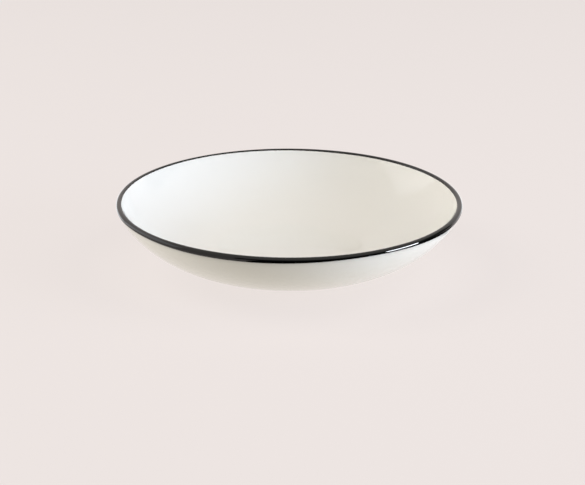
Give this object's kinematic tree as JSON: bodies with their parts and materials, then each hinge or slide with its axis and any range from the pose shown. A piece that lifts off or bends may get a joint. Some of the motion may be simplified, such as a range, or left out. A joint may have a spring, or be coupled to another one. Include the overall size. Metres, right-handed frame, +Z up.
{
  "type": "deep plate",
  "caption": "Deep coupe plate of cream glazed stoneware with a black band round its rounded lip, on a low foot ring.",
  "frame": {"origin": "centre of the circle on which the foot ring rests", "axes": "+Z up along the axis of the plate, out of the open side; X and Y lie in the resting plane and are free, because the plate is a body of revolution"},
  "size_m": [0.22, 0.22, 0.0435],
  "materials": {
    "fired_clay": "matt, bare fired clay",
    "cream_glaze": "high gloss",
    "black_band": "high gloss"
  },
  "bodies": {
    "root": {"clay_body": "fired_clay", "inside_glaze": "cream_glaze", "outside_glaze": "cream_glaze", "recess_glaze": "cream_glaze", "rim_band": "black_band"}
  },
  "joints": []
}
